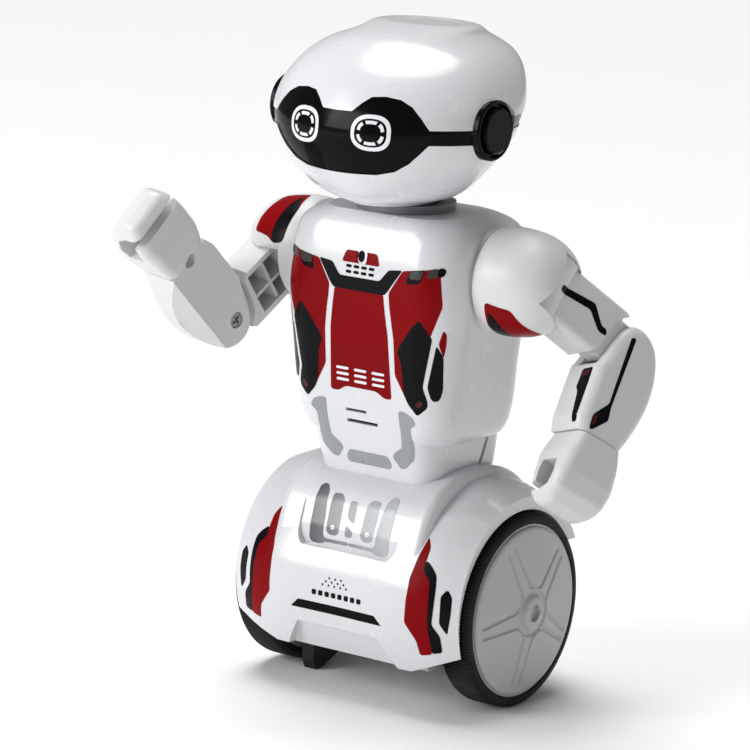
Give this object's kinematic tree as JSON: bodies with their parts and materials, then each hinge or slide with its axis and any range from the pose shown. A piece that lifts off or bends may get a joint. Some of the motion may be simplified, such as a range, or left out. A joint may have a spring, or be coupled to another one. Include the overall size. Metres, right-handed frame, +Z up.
{
  "type": "two wheel toy robot",
  "caption": "Self-contained toy robot that drives on two geared side wheels, with a turning head, a visor face and posable gripping arms.",
  "frame": {"origin": "on the floor midway between the two tyres, directly under the wheel axle", "axes": "+Z up, -Y the way the robot faces, +X towards the robot's left wheel"},
  "size_m": [0.1388, 0.114, 0.2048],
  "materials": {
    "shell_white": "gloss",
    "arm_white": "satin",
    "black_gloss": "gloss",
    "black_plastic": "satin",
    "tyre_rubber": "matte",
    "disc_grey": "satin",
    "case_grey": "satin",
    "neck_grey": "satin",
    "gear_white": "satin",
    "steel": "brushed",
    "motor_can": "satin",
    "cell_can": "gloss",
    "board_green": "satin"
  },
  "bodies": {
    "chassis": {"base_front_shell": "shell_white", "base_rear_shell": "shell_white", "base_floor": "case_grey", "motion_window": "black_gloss", "gear_case_left": "case_grey", "gear_case_right": "case_grey", "drive_motors": "motor_can", "gear_pins": "steel", "front_skid": "black_plastic", "roller_bracket": "black_plastic", "torso_front": "shell_white", "torso_rear": "shell_white", "body_screws": "steel", "battery_door": "shell_white", "battery_holder": "black_plastic", "battery_cells": "cell_can", "speaker": "black_plastic", "main_board": "board_green", "chest_sensor": "black_gloss", "neck_collar": "neck_grey", "neck_retainer": "neck_grey"},
    "switch_knob": {"power_switch": "black_plastic"},
    "roller": {"rear_roller": "black_plastic"},
    "head": {"head_upper": "shell_white", "head_lower": "shell_white", "visor": "black_gloss", "rear_band": "neck_grey", "ear_left": "black_gloss", "ear_right": "black_gloss", "light_board": "board_green"},
    "wheel_left": {"tyre_left": "tyre_rubber", "wheel_rim_left": "disc_grey", "wheel_disc_left": "disc_grey", "axle_left": "steel", "final_gear_left": "gear_white"},
    "idler_left": {"idler_gear_left": "gear_white"},
    "motor_shaft_left": {"motor_pinion_left": "gear_white"},
    "wheel_right": {"tyre_right": "tyre_rubber", "wheel_rim_right": "disc_grey", "wheel_disc_right": "disc_grey", "axle_right": "steel", "final_gear_right": "gear_white"},
    "idler_right": {"idler_gear_right": "gear_white"},
    "motor_shaft_right": {"motor_pinion_right": "gear_white"},
    "shoulder_left": {"shoulder_cap_left": "arm_white", "shoulder_hardware_left": "steel"},
    "upper_left": {"upper_arm_left": "arm_white"},
    "forearm_left": {"forearm_outer_left": "arm_white", "forearm_inner_left": "arm_white", "elbow_screw_left": "steel"},
    "hand_left": {"hand_palm_left": "arm_white", "hand_finger_left": "arm_white"},
    "shoulder_right": {"shoulder_cap_right": "arm_white", "shoulder_hardware_right": "steel"},
    "upper_right": {"upper_arm_right": "arm_white"},
    "forearm_right": {"forearm_outer_right": "arm_white", "forearm_inner_right": "arm_white", "elbow_screw_right": "steel"},
    "hand_right": {"hand_palm_right": "arm_white", "hand_finger_right": "arm_white"}
  },
  "joints": [
    {"name": "wheel_spin_left", "type": "hinge", "parent": "chassis", "child": "wheel_left", "pos_m": [0, 0, 0.03], "axis": [1, 0, 0], "continuous": true},
    {"name": "idler_spin_left", "type": "hinge", "parent": "chassis", "child": "idler_left", "pos_m": [0, -0.01297, 0.03472], "axis": [1, 0, 0], "continuous": true},
    {"name": "motor_spin_left", "type": "hinge", "parent": "chassis", "child": "motor_shaft_left", "pos_m": [0, -0.01516, 0.04713], "axis": [1, 0, 0], "continuous": true},
    {"name": "wheel_spin_right", "type": "hinge", "parent": "chassis", "child": "wheel_right", "pos_m": [0, 0, 0.03], "axis": [1, 0, 0], "continuous": true},
    {"name": "idler_spin_right", "type": "hinge", "parent": "chassis", "child": "idler_right", "pos_m": [0, 0.01297, 0.03472], "axis": [1, 0, 0], "continuous": true},
    {"name": "motor_spin_right", "type": "hinge", "parent": "chassis", "child": "motor_shaft_right", "pos_m": [0, 0.01516, 0.04713], "axis": [1, 0, 0], "continuous": true},
    {"name": "roller_spin", "type": "hinge", "parent": "chassis", "child": "roller", "pos_m": [0, 0.025, 0.005], "axis": [1, 0, 0], "continuous": true},
    {"name": "head_turn", "type": "hinge", "parent": "chassis", "child": "head", "pos_m": [0, -0.0084, 0.15], "axis": [0, 0, 1], "range_deg": [-60, 60]},
    {"name": "switch_slide", "type": "slide", "parent": "chassis", "child": "switch_knob", "axis": [1, 0, 0], "range_m": [0, 0.0039]},
    {"name": "shoulder_swing_left", "type": "hinge", "parent": "chassis", "child": "shoulder_left", "pos_m": [0.0474, -0.004, 0.131], "axis": [-1, 0, 0], "range_deg": [-12, 130]},
    {"name": "shoulder_raise_left", "type": "hinge", "parent": "shoulder_left", "child": "upper_left", "pos_m": [0.0474, -0.004, 0.131], "axis": [0, -0.6691, -0.7431], "range_deg": [-16, 38]},
    {"name": "elbow_bend_left", "type": "hinge", "parent": "upper_left", "child": "forearm_left", "pos_m": [0.06143, 0.01836, 0.11087], "axis": [-0.9063, 0.3141, -0.2828], "range_deg": [-58, 12]},
    {"name": "wrist_twist_left", "type": "hinge", "parent": "forearm_left", "child": "hand_left", "pos_m": [0.06304, 0.00014, 0.08547], "axis": [0.0515, -0.5821, -0.8115], "range_deg": [-90, 90]},
    {"name": "shoulder_swing_right", "type": "hinge", "parent": "chassis", "child": "shoulder_right", "pos_m": [-0.0474, -0.004, 0.131], "axis": [-1, 0, 0], "range_deg": [-72, 60]},
    {"name": "shoulder_raise_right", "type": "hinge", "parent": "shoulder_right", "child": "upper_right", "pos_m": [-0.0474, -0.004, 0.131], "axis": [0, 0.6088, -0.7934], "range_deg": [0, 54]},
    {"name": "elbow_bend_right", "type": "hinge", "parent": "upper_right", "child": "forearm_right", "pos_m": [-0.05259, -0.03002, 0.11104], "axis": [-0.9877, 0.1241, 0.0952], "range_deg": [-55, 15]},
    {"name": "wrist_twist_right", "type": "hinge", "parent": "forearm_right", "child": "hand_right", "pos_m": [-0.05344, -0.05304, 0.13223], "axis": [-0.0272, -0.7356, 0.6769], "range_deg": [-90, 90]}
  ],
  "couplings": [
    {"joint": "idler_spin_left", "follows": "wheel_spin_left", "ratio": -2.8333},
    {"joint": "motor_spin_left", "follows": "wheel_spin_left", "ratio": 7.0833},
    {"joint": "idler_spin_right", "follows": "wheel_spin_right", "ratio": -2.8333},
    {"joint": "motor_spin_right", "follows": "wheel_spin_right", "ratio": 7.0833}
  ]
}
